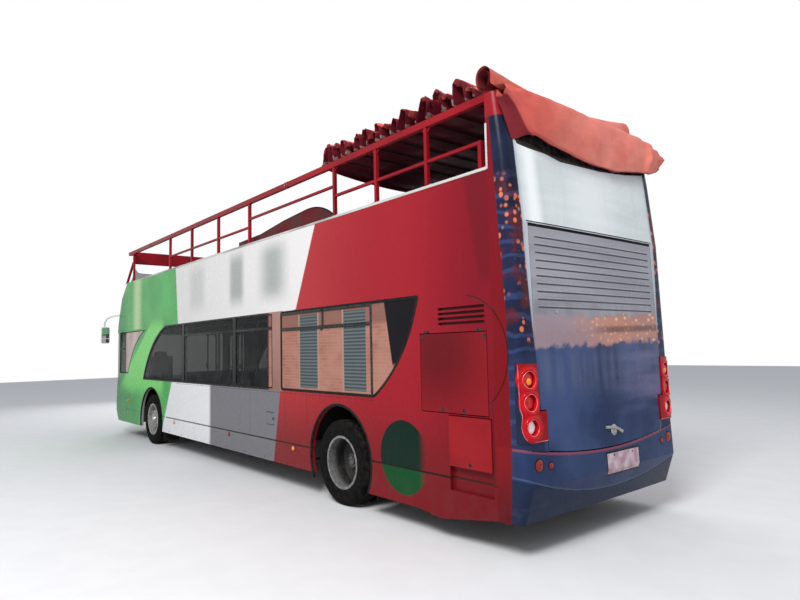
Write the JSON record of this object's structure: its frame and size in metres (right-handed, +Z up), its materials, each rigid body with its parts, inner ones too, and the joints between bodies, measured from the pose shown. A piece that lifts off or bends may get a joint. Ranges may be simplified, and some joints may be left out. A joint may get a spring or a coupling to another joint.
{
  "type": "open top double decker bus",
  "caption": "Open top double decker sightseeing bus with a parapet, red roof frame and folded fabric roof; wheels, steering, doors and hatches move.",
  "frame": {"origin": "under the middle of the bus, on the road", "axes": "+X forward, +Y to the bus's left, +Z up"},
  "size_m": [12, 3.12, 4.2649],
  "materials": {
    "painted_panel": "satin, wrapped in green, white and red",
    "rear_panel": "satin dark blue",
    "glass": "dark tinted",
    "frame_red": "gloss red",
    "fabric_red": "faded coated fabric",
    "tyre": "worn black rubber",
    "rim": "dusty silver",
    "steel_dark": "road dirt over black",
    "floor": "speckled floor covering",
    "seat": "moulded shell with pads",
    "pole_yellow": "powder coated",
    "black_plastic": "grained",
    "lamp": "clear red lens",
    "mirror_white": "white arm, black head"
  },
  "bodies": {
    "bus": {"bumper_front": "painted_panel", "bumper_rear": "rear_panel", "canopy_bunch": "fabric_red", "canopy_roll": "fabric_red", "chassis_rails": "steel_dark", "cross_members": "steel_dark", "driver_station": "black_plastic", "engine_block": "steel_dark", "front_axle": "steel_dark", "front_lower": "painted_panel", "front_upper": "painted_panel", "grab_poles": "pole_yellow", "lamps": "lamp", "lower_floor": "floor", "mirrors": "mirror_white", "parapet_left": "painted_panel", "parapet_right": "painted_panel", "rear_axle": "steel_dark", "rear_frame": "rear_panel", "roof_header": "frame_red", "roof_posts": "frame_red", "roof_rails": "frame_red", "seats_lower": "seat", "seats_upper": "seat", "side_glass": "glass", "side_wall_left": "painted_panel", "side_wall_right": "painted_panel", "stair_cover": "frame_red", "stairs": "floor", "upper_floor": "floor", "wheel_housings": "steel_dark", "windscreens": "glass"},
    "wheel_front_left": {"tyre_front_left": "tyre", "rim_front_left": "rim"},
    "wheel_front_right": {"tyre_front_right": "tyre", "rim_front_right": "rim"},
    "wheels_rear_left": {"tyres_rear_left": "tyre", "rims_rear_left": "rim"},
    "wheels_rear_right": {"tyres_rear_right": "tyre", "rims_rear_right": "rim"},
    "knuckle_left": {"knuckle_left": "steel_dark"},
    "knuckle_right": {"knuckle_right": "steel_dark"},
    "rear_hatch": {"rear_hatch": "rear_panel"},
    "engine_door": {"engine_door": "painted_panel"},
    "side_flap": {"side_flap": "painted_panel"},
    "fuel_flap": {"fuel_flap": "painted_panel"},
    "front_door": {"front_door": "black_plastic"},
    "middle_door_rear": {"middle_door_rear": "black_plastic"},
    "middle_door_front": {"middle_door_front": "black_plastic"}
  },
  "joints": [
    {"name": "steer_left", "type": "hinge", "parent": "bus", "child": "knuckle_left", "pos_m": [3.24, 0.93, 0.479], "axis": [0, 0, 1], "range_deg": [-38, 38]},
    {"name": "steer_right", "type": "hinge", "parent": "bus", "child": "knuckle_right", "pos_m": [3.24, -0.93, 0.479], "axis": [0, 0, 1], "range_deg": [-38, 38]},
    {"name": "spin_front_left", "type": "hinge", "parent": "knuckle_left", "child": "wheel_front_left", "pos_m": [3.24, 1.09, 0.479], "axis": [0, 1, 0], "continuous": true},
    {"name": "spin_front_right", "type": "hinge", "parent": "knuckle_right", "child": "wheel_front_right", "pos_m": [3.24, -1.09, 0.479], "axis": [0, 1, 0], "continuous": true},
    {"name": "spin_rear_left", "type": "hinge", "parent": "bus", "child": "wheels_rear_left", "pos_m": [-3.3, 1.09, 0.479], "axis": [0, 1, 0], "continuous": true},
    {"name": "spin_rear_right", "type": "hinge", "parent": "bus", "child": "wheels_rear_right", "pos_m": [-3.3, -1.09, 0.479], "axis": [0, 1, 0], "continuous": true},
    {"name": "hatch_lift", "type": "hinge", "parent": "bus", "child": "rear_hatch", "pos_m": [-5.93, 0, 2.8], "axis": [0, 1, 0], "range_deg": [0, 80]},
    {"name": "engine_door_lift", "type": "hinge", "parent": "bus", "child": "engine_door", "pos_m": [-5.165, 1.25, 1.896], "axis": [1, 0, 0], "range_deg": [0, 85]},
    {"name": "side_flap_lift", "type": "hinge", "parent": "bus", "child": "side_flap", "pos_m": [-5.365, 1.262, 1.14], "axis": [1, 0, 0], "range_deg": [0, 80]},
    {"name": "fuel_flap_swing", "type": "hinge", "parent": "bus", "child": "fuel_flap", "pos_m": [-1.574, 1.25, 0.86], "axis": [0, 0, -1], "range_deg": [0, 110]},
    {"name": "front_door_swing", "type": "hinge", "parent": "bus", "child": "front_door", "pos_m": [5.194, -1.25, 1.276], "axis": [0, 0, 1], "range_deg": [0, 90]},
    {"name": "middle_door_rear_swing", "type": "hinge", "parent": "bus", "child": "middle_door_rear", "pos_m": [-0.894, -1.25, 1.276], "axis": [0, 0, -1], "range_deg": [0, 90]},
    {"name": "middle_door_front_swing", "type": "hinge", "parent": "bus", "child": "middle_door_front", "pos_m": [0.344, -1.25, 1.276], "axis": [0, 0, 1], "range_deg": [0, 90]}
  ],
  "couplings": [
    {"joint": "steer_right", "follows": "steer_left", "ratio": 1},
    {"joint": "middle_door_front_swing", "follows": "middle_door_rear_swing", "ratio": 1}
  ]
}
